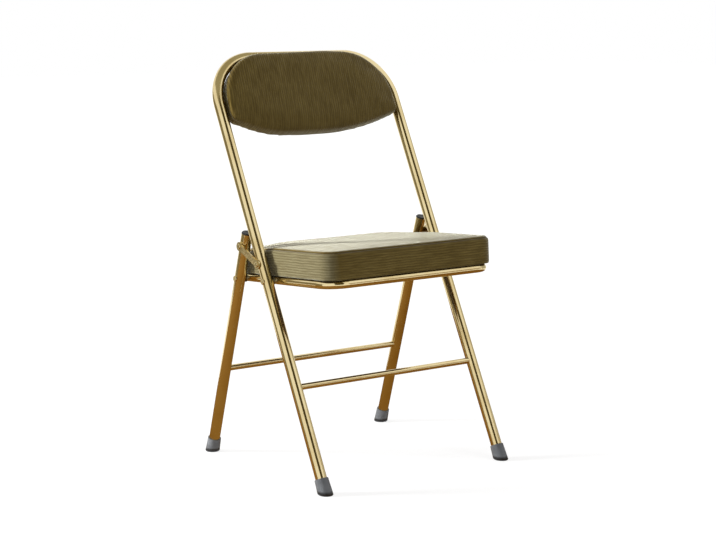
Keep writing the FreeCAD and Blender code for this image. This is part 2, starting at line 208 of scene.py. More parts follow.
class Shader:
    """One node tree and the few calls that fill it."""

    def __init__(self, tree):
        self.tree = tree

    def node(self, kind, **values):
        made = self.tree.nodes.new(kind)
        for name, value in values.items():
            setattr(made, name, value)
        return made

    def feed(self, source, target):
        """Link a socket to an input, or set that input to a plain number."""
        if isinstance(source, (int, float)):
            target.default_value = source
        else:
            self.tree.links.new(source, target)

    def filled(self, kind, **values):
        """A node with its named inputs fed, spaces in the names written as underscores."""
        made = self.node(kind)
        for name, value in values.items():
            self.feed(value, made.inputs[name.replace("_", " ")])
        return made

    def math(self, operation, first, second=0.0):
        """One sum on sockets or plain numbers."""
        made = self.node("ShaderNodeMath", operation=operation)
        self.feed(first, made.inputs[0])
        self.feed(second, made.inputs[1])
        return made.outputs[0]

    def noise(self, vector, scale, detail=3.0):
        return self.filled("ShaderNodeTexNoise", Vector=vector, Scale=scale, Detail=detail).outputs[0]

    def remap(self, value, low, high, new_low, new_high):
        """Carry a value from one range into another, and no further than its ends."""
        made = self.filled("ShaderNodeMapRange", Value=value, From_Min=low, From_Max=high,
                           To_Min=new_low, To_Max=new_high)
        return made.outputs["Result"]

    def rise(self, value, low, high):
        """0 up to low, 1 from high on."""
        return self.remap(value, low, high, 0.0, 1.0)

    def fall(self, value, low, high):
        """1 up to low, 0 from high on."""
        return self.remap(value, low, high, 1.0, 0.0)

    def blend(self, factor, first, second):
        """Mix two colours, each a socket or a plain colour."""
        made = self.node("ShaderNodeMix", data_type="RGBA")
        self.feed(factor, made.inputs[0])
        for socket, value in ((made.inputs[6], first), (made.inputs[7], second)):
            if isinstance(value, bpy.types.NodeSocket):
                self.feed(value, socket)
            else:
                socket.default_value = opaque(value)
        return made.outputs[2]

    def place(self, scale=(1, 1, 1)):
        """Object coordinates, stretched by a scale."""
        here = self.node("ShaderNodeTexCoord").outputs["Object"]
        made = self.filled("ShaderNodeMapping", Vector=here)
        made.inputs["Scale"].default_value = scale
        return made.outputs["Vector"]

    def split(self, vector):
        """A vector's X, Y and Z."""
        return self.filled("ShaderNodeSeparateXYZ", Vector=vector).outputs

    def stored(self, name):
        """A field kept on the mesh."""
        return self.node("ShaderNodeAttribute", attribute_name=name).outputs["Fac"]

    def bump(self, height, distance, strength=1.0):
        made = self.filled("ShaderNodeBump", Height=height, Distance=distance, Strength=strength)
        return made.outputs["Normal"]

    def group(self, tree, **values):
        """Place a shared effect, with its inputs given as sockets or numbers."""
        made = self.node("ShaderNodeGroup", node_tree=tree)
        for name, value in values.items():
            self.feed(value, made.inputs[name.replace("_", " ")])
        return made.outputs

    def seen(self):
        """1 where the camera, metal or glass looks, 0 for light on a dull surface."""
        path = self.node("ShaderNodeLightPath").outputs
        direct = self.math("MAXIMUM", path["Is Camera Ray"], path["Is Glossy Ray"])
        return self.math("MAXIMUM", direct, path["Is Transmission Ray"])

    def surface(self, output):
        """Make one shader what the material shows."""
        self.feed(output, self.tree.nodes["Material Output"].inputs["Surface"])


def new_material(name):
    """A material with one Principled shader, its tree and that shader's inputs."""
    material = bpy.data.materials.new(name)
    material.use_nodes = True
    tree = material.node_tree
    return material, Shader(tree), tree.nodes["Principled BSDF"].inputs


def new_effect(name, inputs, outputs):
    """An empty shared effect with its named sockets."""
    tree = bpy.data.node_groups.new(name, "ShaderNodeTree")
    for label, kind in inputs:
        tree.interface.new_socket(name=label, in_out="INPUT", socket_type=kind)
    for label, kind in outputs:
        tree.interface.new_socket(name=label, in_out="OUTPUT", socket_type=kind)
    s = Shader(tree)
    return tree, s, s.node("NodeGroupInput").outputs, s.node("NodeGroupOutput").inputs


# Shared effects. Scales are for noise, lengths are in metres, and a pair holds a mask's two ends.

SMUDGE = (0.42, 0.68)
HAIRLINE = (0.55, 0.75)
HAIRLINE_FINENESS = 23.0
HAIRLINE_SHARE = 0.45

WANDER_SCALE = 45.0
WANDER_REACH = 0.0030
STRAND_SCALE = 330.0
STRAND_STRETCH = 0.09
STRAND_LAID = (0.35, 0.65)
STRAND_HEIGHTS = (0.3, 0.7, 0.25, 1.0)
TUFT_SCALE = 520.0
TUFT_SHARE = 0.45
VALLEY_TOP = 0.62
PATCH_SCALE = 19.0
PATCH = (0.35, 0.68)


def handling_marks():
    """Soft smudges and fine hairlines that hands and cloths leave on a hard surface."""
    known = bpy.data.node_groups.get("handling_marks")
    if known:
        return known
    tree, s, given, result = new_effect(
        "handling_marks",
        (("Place", VECTOR), ("Smudge Scale", FLOAT), ("Clean", FLOAT), ("Worn", FLOAT)),
        (("Marks", FLOAT), ("Roughness", FLOAT), ("Height", FLOAT)))
    smudge = s.rise(s.noise(given["Place"], given["Smudge Scale"], detail=4.0), *SMUDGE)
    fine_scale = s.math("MULTIPLY", given["Smudge Scale"], HAIRLINE_FINENESS)
    hairline = s.rise(s.noise(given["Place"], fine_scale, detail=2.0), *HAIRLINE)
    marks = s.math("MAXIMUM", smudge, s.math("MULTIPLY", hairline, HAIRLINE_SHARE))
    s.feed(marks, result["Marks"])
    s.feed(s.remap(marks, 0.0, 1.0, given["Clean"], given["Worn"]), result["Roughness"])
    s.feed(hairline, result["Height"])
    return tree


def wale_ribs():
    """Corduroy from the distance across its wales: rounded crests, narrow valleys, uneven pile."""
    known = bpy.data.node_groups.get("wale_ribs")
    if known:
        return known
    tree, s, given, result = new_effect(
        "wale_ribs",
        (("Across", FLOAT), ("Along Place", VECTOR), ("Pitch", FLOAT)),
        (("Height", FLOAT), ("Valley", FLOAT), ("Brushed", FLOAT)))
    place = given["Along Place"]
    axis = s.split(place)
    along = s.math("ADD", axis["Y"], axis["Z"])
    streak = s.filled("ShaderNodeCombineXYZ", X=given["Across"],
                      Y=s.math("MULTIPLY", axis["X"], STRAND_STRETCH),
                      Z=s.math("MULTIPLY", along, STRAND_STRETCH))
    strands = s.noise(streak.outputs[0], STRAND_SCALE)
    sway = s.math("SUBTRACT", s.noise(place, WANDER_SCALE, detail=2.0), 0.5)
    across = s.math("ADD", given["Across"], s.math("MULTIPLY", sway, WANDER_REACH))
    turns = s.math("MULTIPLY", s.math("DIVIDE", across, given["Pitch"]), math.pi)
    wave = s.math("ABSOLUTE", s.math("SINE", turns))
    crest = s.math("MULTIPLY", wave, s.remap(strands, *STRAND_HEIGHTS))
    tuft = s.math("MULTIPLY", s.noise(place, TUFT_SCALE), TUFT_SHARE)
    s.feed(s.math("ADD", crest, tuft), result["Height"])
    s.feed(s.fall(crest, 0.0, VALLEY_TOP), result["Valley"])
    patches = s.rise(s.noise(place, PATCH_SCALE, detail=4.0), *PATCH)
    laid = s.rise(strands, *STRAND_LAID)
    s.feed(s.math("MULTIPLY", s.math("ADD", patches, laid), 0.5), result["Brushed"])
    return tree


# Materials

SCUFF = 1.35
DARK_PLASTIC = 0.12
LOW_DARK_HEIGHT = (0.005, 0.009)
PLUG_HEIGHT = (0.20, 0.21)
DULL_STEEL = 0.72
GRAIN_STRETCH = (6, 90, 90)
GRAIN_BANDS = (0.35, 0.68)
GRAIN_ROUGHNESS = (0.3, 0.7, 0.55, 0.75)
VALLEY_SHADE = 0.62
TURNED_PAINTED_SHADE = 0.4
SEAM_LINE = (0.0006, 0.0022)
PILE_ROUGHNESS = (0.38, 0.55)
PILE_HEIGHT = 0.0010
PILE_STRENGTH = 0.65
WALE_LEAN = 0.14


def plated_material(name, clean_colour, worn_colour, smudge_scale, clean, worn, hairline_depth):
    """Bright metal, dulled and roughened where it has been handled."""
    material, s, shader = new_material(name)
    marks = s.group(handling_marks(), Place=s.place(), Smudge_Scale=smudge_scale, Clean=clean, Worn=worn)
    s.feed(s.blend(marks["Marks"], clean_colour, worn_colour), shader["Base Color"])
    shader["Metallic"].default_value = 1.0
    s.feed(marks["Roughness"], shader["Roughness"])
    s.feed(s.bump(marks["Height"], hairline_depth), shader["Normal"])
    return material


def gold_material(name, smudge_scale, clean, worn):
    finish = settings()[0]
    return plated_material(name, finish.gold, finish.gold_shade, smudge_scale, clean, worn, 0.00002)


def steel_material():
    steel = settings()[0].steel
    dull = [c * DULL_STEEL for c in steel]
    return plated_material("zinc_steel", steel, dull, 130.0, 0.26, 0.46, 0.00004)


def plastic_material():
    """Grey plastic, dark towards the bottom of the feet and in the leg plugs."""
    plastic = settings()[0].plastic
    material, s, shader = new_material("foot_plastic")
    place = s.place()
    marks = s.group(handling_marks(), Place=place, Smudge_Scale=45.0, Clean=0.42, Worn=0.62)
    body = s.blend(marks["Marks"], plastic, [min(1.0, c * SCUFF) for c in plastic])
    height = s.split(place)["Z"]
    dark = s.math("MAXIMUM", s.fall(height, *LOW_DARK_HEIGHT), s.rise(height, *PLUG_HEIGHT))
    s.feed(s.blend(dark, body, [c * DARK_PLASTIC for c in plastic]), shader["Base Color"])
    s.feed(marks["Roughness"], shader["Roughness"])
    s.feed(s.bump(s.noise(place, 2200.0, detail=2.0), 0.00006), shader["Normal"])
    return material


def plywood_material():
    finish = settings()[0]
    material, s, shader = new_material("plywood")
    grain = s.noise(s.place(scale=GRAIN_STRETCH), 3.0, detail=5.0)
    bands = s.rise(grain, *GRAIN_BANDS)
    s.feed(s.blend(bands, finish.wood, finish.wood_grain), shader["Base Color"])
    s.feed(s.remap(grain, *GRAIN_ROUGHNESS), shader["Roughness"])
    s.feed(s.bump(grain, 0.0002), shader["Normal"])
    return material


def corduroy_material(name, across, seam=False, turned=False):
    """Corduroy whose wales are told apart by what across returns, seamed or with a turned edge darkened
    by painted shade.
    """
    finish = settings()[0]
    material, s, shader = new_material(name)
    ribs = s.group(wale_ribs(), Across=across(s), Along_Place=s.place(), Pitch=finish.wale_pitch)
    hollow = s.math("MULTIPLY", ribs["Valley"], VALLEY_SHADE)
    height = ribs["Height"]
    pile = s.blend(ribs["Brushed"], finish.pile, finish.pile_brushed)
    if seam:
        line = s.fall(s.math("ABSOLUTE", s.stored("seam")), *SEAM_LINE)
        hollow = s.math("MAXIMUM", hollow, line)
        height = s.math("SUBTRACT", height, line)
        # Painted light: the seat's walls turn paler where they face the key lamp on the left.
        pile = s.blend(s.stored("painted_light"), pile, finish.pile_painted_light)
    if turned:
        # Painted shade: the back's downward-facing lower rim is blended towards the valley colour.
        hollow = s.math("MAXIMUM", hollow, s.math("MULTIPLY", s.stored("turned"), TURNED_PAINTED_SHADE))
    s.feed(s.blend(hollow, pile, finish.pile_valley), shader["Base Color"])
    dull = s.remap(hollow, 0.0, 1.0, *PILE_ROUGHNESS)
    if turned:
        dull = s.math("MAXIMUM", dull, s.stored("turned"))
    s.feed(dull, shader["Roughness"])
    shader["Specular IOR Level"].default_value = 0.09
    shader["Sheen Weight"].default_value = 0.5
    shader["Sheen Roughness"].default_value = 0.35
    shader["Sheen Tint"].default_value = opaque(finish.pile_sheen)
    s.feed(s.bump(height, PILE_HEIGHT, PILE_STRENGTH), shader["Normal"])
    return material


def seat_wales(s):
    """Wales that run round the wall below the seam and front to back above it."""
    choice = s.node("ShaderNodeMix")
    s.feed(s.math("GREATER_THAN", s.stored("seam"), 0.0), choice.inputs[0])
    s.feed(s.stored("level"), choice.inputs[2])
    s.feed(s.split(s.place())["X"], choice.inputs[3])
    return choice.outputs[0]


def upright_wales(s):
    """Wales that run up the back, cut a little off the grain."""
    axis = s.split(s.place())
    return s.math("SUBTRACT", axis["X"], s.math("MULTIPLY", axis["Z"], WALE_LEAN))


def dress(names, material):
    """Give CAD nodes one finish."""
    for name in names:
        mesh = NODES[name].data
        mesh.materials.clear()
        mesh.materials.append(material)


# Padding helpers

MERGE = 1e-5
CLOTH_FRAMES = 20
EASING_ROUNDS = 24
EASING_KEEP = 0.4


def pick(obj):
    """Make one object the only selected one, and the active one."""
    bpy.ops.object.select_all(action="DESELECT")
    obj.select_set(True)
    bpy.context.view_layer.objects.active = obj


def vectors(obj, name):
    flat = np.empty(len(obj.data.vertices) * 3)
    obj.data.vertices.foreach_get(name, flat)
    return flat.reshape(-1, 3)


def points(obj):
    return vectors(obj, "co")


def outward(obj):
    """Each point's normal."""
    return vectors(obj, "normal")


def set_points(obj, places):
    obj.data.vertices.foreach_set("co", places.reshape(-1))
    obj.data.update()


class Axes:
    """A pad's own axes: across the chair, along the pad, and out of its face."""

    def __init__(self, origin, along, face):
        self.origin = np.array(origin)
        self.turn = np.array([(1, 0, 0), along, face])

    def local(self, places):
        return (places - self.origin) @ self.turn.T

    def world(self, places):
        return places @ self.turn + self.origin


def seat_axes():
    tilt = settings()[1].seat_tilt
    along = (0, math.cos(tilt), -math.sin(tilt))
    face = (0, math.sin(tilt), math.cos(tilt))
    return Axes(SEAT_PIVOT, along, face)


def back_axes():
    """Origin where the front frame's plane meets the floor."""
    lean = settings()[1].back_lean
    low = SEAT_PIVOT.y - SEAT_PIVOT.z * math.tan(lean)
    along = (0, math.sin(lean), math.cos(lean))
    face = (0, -math.cos(lean), math.sin(lean))
    return Axes((0, low, 0), along, face)


def node_reach(axes, node):
    """A CAD node's lowest and highest places along a pad's axes."""
    solid = axes.local(points(NODES[node]))
    return solid.min(0), solid.max(0)


def rim_depth(place, half_width, front, rear, front_corner, rear_corner):
    """How far points lie inside a rounded rectangle, seen along the pad's face."""
    middle = (rear - front) / 2
    corner = np.where(place[:, 1] < middle, front_corner, rear_corner)
    over_x = np.abs(place[:, 0]) - half_width + corner
    over_y = np.abs(place[:, 1] - middle) - (front + rear) / 2 + corner
    outside = np.hypot(np.maximum(over_x, 0), np.maximum(over_y, 0))
    return corner - outside - np.minimum(np.maximum(over_x, over_y), 0)


def ramp(values, start, reach):
    """0 up to start, then up to 1 over a reach."""
    return np.clip((values - start) / reach, 0, 1)


def soft_limit(values, limit, swell):
    """Values past a limit, held to a small swell beyond it."""
    past = np.maximum(np.abs(values) - limit, 0)
    return np.sign(values) * (np.minimum(np.abs(values), limit) + swell * np.tanh(past / swell))


def keep_field(obj, name, values):
    """Store one number a point, for the finish and for shaping after the subdivision."""
    kept = obj.data.attributes.new(name, "FLOAT", "POINT")
    kept.data.foreach_set("value", values.astype(np.float32))


def field(obj, name):
    values = np.empty(len(obj.data.vertices), dtype=np.float32)
    obj.data.attributes[name].data.foreach_get("value", values)
    return values


def eased(obj, values):
    """A field averaged with its neighbours' again and again, which takes small wrinkles out."""
    pairs = np.empty(len(obj.data.edges) * 2, dtype=np.int32)
    obj.data.edges.foreach_get("vertices", pairs)
    first, second = pairs.reshape(-1, 2).T
    count = len(values)
    near = np.bincount(first, minlength=count) + np.bincount(second, minlength=count)
    for _ in range(EASING_ROUNDS):
        total = np.empty_like(values)
        for axis in range(values.shape[1]):
            column = values[:, axis]
            total[:, axis] = (np.bincount(first, column[second], count)
                              + np.bincount(second, column[first], count))
        values = EASING_KEEP * values + (1 - EASING_KEEP) * total / np.maximum(near, 1)[:, None]
    return values


def merged_copy(node, name):
    """A copy of a CAD node with its doubles merged, left open in edit mode with all selected."""
    obj = bpy.data.objects.new(name, NODES[node].data.copy())
    bpy.context.scene.collection.objects.link(obj)
    obj.data.materials.clear()
    pick(obj)
    bpy.ops.object.mode_set(mode="EDIT")
    bpy.ops.mesh.select_all(action="SELECT")
    bpy.ops.mesh.remove_doubles(threshold=MERGE)
    return obj


def pad_copy(node, name, filled):
    """An evenly meshed copy of a CAD soft solid, with its board's pocket filled if asked."""
    obj = merged_copy(node, name)
    if filled:
        bpy.ops.mesh.convex_hull()
    bpy.ops.object.mode_set(mode="OBJECT")
    obj.data.remesh_voxel_size = settings()[1].voxel
    bpy.ops.object.voxel_remesh()
    smooth = obj.modifiers.new("even", "SMOOTH")
    smooth.factor = 0.5
    smooth.iterations = 3
    bpy.ops.object.modifier_apply(modifier=smooth.name)
    return obj


def inflate(obj, held, cap):
    """Let the stuffing push the cover out, with held points fixed and every move softly capped."""
    start = points(obj)
    group = obj.vertex_groups.new(name="held")
    for index in np.flatnonzero(held):
        group.add([int(index)], 1.0, "REPLACE")
    cloth = obj.modifiers.new("stuffing", "CLOTH")
    cloth.settings.quality = 5
    cloth.settings.mass = 0.3
    cloth.settings.use_pressure = True
    cloth.settings.uniform_pressure_force = settings()[1].pressure
    cloth.settings.vertex_group_mass = group.name
    cloth.settings.effector_weights.gravity = 0.0
    cloth.point_cache.frame_end = CLOTH_FRAMES
    for number in range(1, CLOTH_FRAMES + 1):
        bpy.context.scene.frame_set(number)
    pick(obj)
    bpy.ops.object.modifier_apply(modifier=cloth.name)
    bpy.context.scene.frame_set(1)
    move = points(obj) - start
    length = np.linalg.norm(move, axis=1, keepdims=True)
    capped = cap * np.tanh(length / cap)
    set_points(obj, start + eased(obj, move * capped / np.maximum(length, 1e-9)))
    obj.vertex_groups.clear()


def refine(obj):
    """One subdivision, then smooth shading."""
    pick(obj)
    finer = obj.modifiers.new("finer", "SUBSURF")
    finer.levels = 1
    finer.render_levels = 1
    bpy.ops.object.modifier_apply(modifier=finer.name)
    bpy.ops.object.shade_smooth()


def declare(obj, body, node, material):
    """Finish a padded piece, hang it on its body and hide the CAD node it replaces."""
    obj.data.materials.append(material)
    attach(obj, body)
    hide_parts(node)


# Pieces

class CHAIR_OT_gold_tubes(bpy.types.Operator):
    """Polish the frame, the legs, the crossbars and the seat ring"""
    bl_idname = "chair.gold_tubes"
    bl_label = "Gold tubes"

    def execute(self, context):
        dress(TUBE_NODES, gold_material("gold_tube", smudge_scale=16.0, clean=0.10, worn=0.20))
        return {"FINISHED"}


class CHAIR_OT_gold_plates(bpy.types.Operator):
    """Polish the links, the tabs and the rivets"""
    bl_idname = "chair.gold_plates"
    bl_label = "Gold plates and rivets"

    def execute(self, context):
        dress(PLATE_NODES, gold_material("gold_plate", smudge_scale=70.0, clean=0.14, worn=0.30))
        return {"FINISHED"}


class CHAIR_OT_plastic_feet(bpy.types.Operator):
    """Finish the feet and the leg plugs"""
    bl_idname = "chair.plastic_feet"
    bl_label = "Plastic feet and plugs"

    def execute(self, context):
        dress(PLASTIC_NODES, plastic_material())
        return {"FINISHED"}


class CHAIR_OT_boards(bpy.types.Operator):
    """Finish the plywood under the seat and behind the back"""
    bl_idname = "chair.boards"
    bl_label = "Plywood boards"

    def execute(self, context):
        dress(BOARD_NODES, plywood_material())
        return {"FINISHED"}


class CHAIR_OT_fasteners(bpy.types.Operator):
    """Finish the washers and the screws"""
    bl_idname = "chair.fasteners"
    bl_label = "Washers and screws"

    def execute(self, context):
        dress(STEEL_NODES, steel_material())
        return {"FINISHED"}


# Seat cushion: where its cover is held, where its rear edge sinks and where its left wall gets painted
# light

SEAM_HOLD = 0.003
WALL_HOLD = 0.008
SLUMP_CORNER = 0.100
SLUMP_REACH = 0.070
SLUMP_MOST = 1.15
SLUMP_START = 0.06
FIRM_END = 0.6
FIRM_START = 0.135
FIRM_REACH = 0.05
BOARD_REACH = 0.004
BOARD_GAP = 0.0004
PAINTED_LIGHT_START = 0.15
PAINTED_LIGHT_REACH = 0.6


class CHAIR_OT_seat_cushion(bpy.types.Operator):
    """Pad the seat: a boxed corduroy cushion with a seam along its top edge"""
    bl_idname = "chair.seat_cushion"
    bl_label = "Seat cushion"

    def execute(self, context):
        padding = settings()[1]
        axes = seat_axes()
        low, high = node_reach(axes, "seat_cushion")
        obj = pad_copy("seat_cushion", "seat_pad", filled=True)
        place = axes.local(points(obj))
        depth = rim_depth(place, high[0], -low[1], high[1],
                          padding.seat_front_corner, padding.seat_rear_corner)
        seam = self.seam_distance(depth, high[2] - place[:, 2], padding.seat_edge)
        keep_field(obj, "seam", seam)
        keep_field(obj, "level", place[:, 2])
        held = (np.abs(seam) < SEAM_HOLD) | (place[:, 2] < low[2] + WALL_HOLD)
        inflate(obj, held, padding.seat_crown)
        refine(obj)
        self.shape(obj, axes, low, high)
        material = corduroy_material("seat_corduroy", seat_wales, seam=True)
        declare(obj, "seat", "seat_cushion", material)
        return {"FINISHED"}

    @staticmethod
    def seam_distance(depth, drop, edge):
        """From the seam along the middle of the rounded edge: positive on the top panel."""
        turn = np.arctan2(np.maximum(edge - drop, 0), np.maximum(edge - depth, 0))
        on_top = np.where(drop < edge, np.maximum(depth - edge, 0), 0)
        return edge * (turn - math.pi / 4) + on_top - np.maximum(drop - edge, 0)

    @staticmethod
    def shape(obj, axes, low, high):
        """Pull the seam in, slump the rear edge, hold the walls in and seat the pad on its board."""
        padding = settings()[1]
        place = axes.local(points(obj))
        pull = padding.seam_depth * np.exp(-(field(obj, "seam") / padding.seam_width) ** 2)
        place -= outward(obj) @ axes.turn.T * pull[:, None]
        depth = rim_depth(place, high[0], -low[1], high[1], padding.seat_front_corner, SLUMP_CORNER)
        rear = ramp(place[:, 1], 0, SLUMP_START)
        firm = FIRM_END * ramp(-place[:, 0], FIRM_START, FIRM_REACH)
        share = ramp(place[:, 2], low[2], high[2] - low[2])
        sunk = np.clip(1 - depth / SLUMP_REACH, 0, SLUMP_MOST) ** 2
        place[:, 2] -= padding.seat_slump * sunk * rear * (1 - firm) * share
        place[:, 0] = soft_limit(place[:, 0], high[0], padding.wall_swell)
        middle = (low[1] + high[1]) / 2
        place[:, 1] = middle + soft_limit(place[:, 1] - middle, high[1] - middle, padding.wall_swell)
        board_low, board_high = node_reach(axes, "seat_board")
        inset = high[0] - board_high[0]
        over_board = rim_depth(place, board_high[0], -board_low[1], board_high[1],
                               padding.seat_front_corner - inset, padding.seat_rear_corner - inset)
        under = (place[:, 2] < low[2] + BOARD_REACH) & (over_board > -inset / 3)
        place[under, 2] = low[2]
        place[under & (over_board > 0), 2] = board_high[2] + BOARD_GAP
        set_points(obj, axes.world(place))
        # Painted light: how far each wall point faces left, towards the key lamp, sets how pale it is
        # painted.
        aside = -(outward(obj) @ axes.turn.T)[:, 0]
        keep_field(obj, "painted_light", ramp(aside, PAINTED_LIGHT_START, PAINTED_LIGHT_REACH) * (field(obj, "seam") < 0))


# Back cushion: where its edge meets the loop, where it laps the tube and which end hangs fuller

TUBE_HOLD = 0.003
TUBE_GAP = 0.0006
LOOP_FOOT = 1.0
TURNED_GAIN = 0.8
SLOPE_STEP = 1e-4
LAP_RISE = 0.005
EDGE_BAND = 0.014
EDGE_FADE = 0.016
LAP_END = 0.12
LAP_FADE = 0.06
TOP_LAP_START = -0.10
TOP_LAP_REACH = 0.14
RIGHT_DRAW = 0.0028
RIGHT_REACH = 0.16
SAG_MIDDLE = -0.135
SAG_REACH = 0.070


class CHAIR_OT_back_cushion(bpy.types.Operator):
    """Pad the back: a thin corduroy cushion inside the loop that laps over its top"""
    bl_idname = "chair.back_cushion"
    bl_label = "Back cushion"

    def execute(self, context):
        padding = settings()[1]
        axes = back_axes()
        tube_high = node_reach(axes, "front_frame_tube")[1]
        tube = tube_high[2]
        obj = pad_copy("backrest_cushion", "back_pad", filled=False)
        inflate(obj, axes.local(points(obj))[:, 2] < tube + TUBE_HOLD, padding.back_crown)
        refine(obj)
        place = axes.local(points(obj))
        bend = padding.loop_bend
        loop = (tube_high[0] - tube, LOOP_FOOT, tube_high[1] - tube, bend, bend)
        self.swell(place, loop, tube)
        beside = rim_depth(place, *loop)
        clear = tube + TUBE_GAP
        over = (np.hypot(beside, place[:, 2]) < clear) & (place[:, 2] > 0)
        place[over, 2] = np.sqrt(clear ** 2 - beside[over] ** 2)
        set_points(obj, axes.world(place))
        # The turned field marks where the back's cover faces down; the finish makes it rough and darkens
        # it with painted shade.
        keep_field(obj, "turned", np.clip(-TURNED_GAIN * (outward(obj) @ axes.turn[1]), 0, 1))
        material = corduroy_material("back_corduroy", upright_wales, turned=True)
        declare(obj, "front_frame", "backrest_cushion", material)
        return {"FINISHED"}

    @staticmethod
    def swell(place, loop, tube):
        """Press the edge against the loop, lap the tube in front and let one lower end hang fuller."""
        padding = settings()[1]
        beside = rim_depth(place, *loop)
        steps = [rim_depth(place + SLOPE_STEP * way, *loop) for way in np.eye(3)[:2]]
        out = np.stack([beside - step for step in steps], axis=1) / SLOPE_STEP
        before = ramp(place[:, 2], tube, LAP_RISE)
        up = np.clip(out[:, 1], 0, 1)
        edge = EDGE_BAND * (1 - before * up)
        near = np.exp(-(np.maximum(beside - edge, 0) / EDGE_FADE) ** 2)
        left = ramp(-place[:, 0], -LAP_END, LAP_FADE)
        across = ramp(place[:, 0], TOP_LAP_START, TOP_LAP_REACH)
        lap = padding.side_lap * (1 - up) + padding.top_lap * up * across
        push = padding.edge_press + before * left * lap
        place[:, :2] += out * (push * near)[:, None]
        place[:, 0] -= RIGHT_DRAW * before * ramp(place[:, 0], 0, RIGHT_REACH)
        low, high = place[:, 1].min(), place[:, 1].max()
        hang = ramp(high - place[:, 1], 0, high - low) ** 3
        place[:, 1] -= padding.low_sag * hang * np.exp(-((place[:, 0] - SAG_MIDDLE) / SAG_REACH) ** 2)


# Rear cover: the grid it is cut into and how its crown fades

GRID_START = 0.004
GRID_CELL = 0.009
CROWN_FADE = 0.016
REAR_REACH = 1e-4
RIM_TILT = 0.5
SMOOTH_ANGLE = math.radians(40)


class CHAIR_OT_rear_cover(bpy.types.Operator):
    """Close the back from behind with a thin corduroy cover, held at its rim and its screws"""
    bl_idname = "chair.rear_cover"
    bl_label = "Rear cover"

    def execute(self, context):
        axes = back_axes()
        low, high = node_reach(axes, "backrest_rear_cover")
        obj = merged_copy("backrest_rear_cover", "back_cover")
        for axis in (0, 1):
            for step in np.arange(low[axis] + GRID_START, high[axis], GRID_CELL):
                cut = np.zeros(3)
                cut[axis] = step
                bpy.ops.mesh.select_all(action="SELECT")
                bpy.ops.mesh.bisect(plane_co=axes.world(cut), plane_no=axes.turn[axis])
        bpy.ops.object.mode_set(mode="OBJECT")
        self.crown(obj, axes, low)
        bpy.ops.object.shade_smooth_by_angle(angle=SMOOTH_ANGLE)
        material = corduroy_material("cover_corduroy", upright_wales)
        declare(obj, "front_frame", "backrest_rear_cover", material)
        return {"FINISHED"}

    @staticmethod
    def crown(obj, axes, low):
        """Raise the rear face between the rim and the screw holes."""
        place = axes.local(points(obj))
        rim = set()
        for face in obj.data.polygons:
            if abs(np.dot(axes.turn[2], face.normal)) < RIM_TILT:
                rim.update(face.vertices)
        edge = place[sorted(rim)]
        rear = np.flatnonzero(place[:, 2] < low[2] + REAR_REACH)
        away = np.array([np.hypot(*(edge[:, :2] - place[i, :2]).T).min() for i in rear])
        place[rear, 2] -= settings()[1].cover_crown * (1 - np.exp(-(away / CROWN_FADE) ** 2))
        set_points(obj, axes.world(place))


# Studio: each lamp's and card's name, place, aim, width and height, then its power or colours

LAMPS = (
    ("key_lamp", (-2.33, 1.55, 0.95), (0, 0, 0.45), 0.5, 0.6, 156),
    ("top_lamp", (-0.3, 0.9, 2.6), (0, 0, 0.4), 1.6, 1.6, 24),
    ("front_lamp", (0.9, -2.9, 2.2), (0, 0, 0.6), 1.2, 1.6, 22),
)
# The cards are painted reflections: they glow, cast no shadow, light no dull surface and only mirrors
# show them; the floor card paints a brown floor under the chair into the gold.
CARDS = (
    ("dark_strip", (-0.70, -2.05, 1.75), (0, 0, 0.35), 1.9, 2.6, (0.075, 0.058, 0.020)),
    ("left_rear_card", (-1.92, 1.61, 0.45), (0, 0, 0.40), 3.3, 1.7, (0.26, 0.23, 0.15)),
    ("left_floor_card", (-2.1, 1.1, 0.003), (-2.1, 1.1, 1.0), 1.6, 2.0, (0.24, 0.20, 0.12)),
    ("high_card", (-0.2, 0.2, 2.6), (-0.2, 0.2, 0.0), 3.2, 3.2, (0.40, 0.38, 0.29)),
    ("right_card", (2.3, -0.2, 0.75), (0, 0, 0.45), 1.9, 1.6, (0.50, 0.48, 0.42)),
    ("front_card", (1.61, -1.92, 0.75), (0, 0, 0.40), 1.6, 0.9, (0.42, 0.35, 0.28)),
    ("floor_card", (-0.1, -0.2, 0.004), (-0.1, -0.2, 1.0), 2.4, 2.4,
     (0.20, 0.095, 0.014), (0.35, 0.20, 0.060)),
)
CARD_SHADE = (-0.4, 0.3)
SENSOR = 36.0
FLOOR_SIZE = 30
FLOOR_DROP = 0.0004
FLOOR_GLOW = 1.12
FLOOR_WHITE = (0.4, 2.2, 0.72, 1.0)


def aimed(place, aim, axis):
    """The turn that points one axis of an object at its aim."""
    return (Vector(aim) - Vector(place)).to_track_quat(axis, "Y").to_euler()


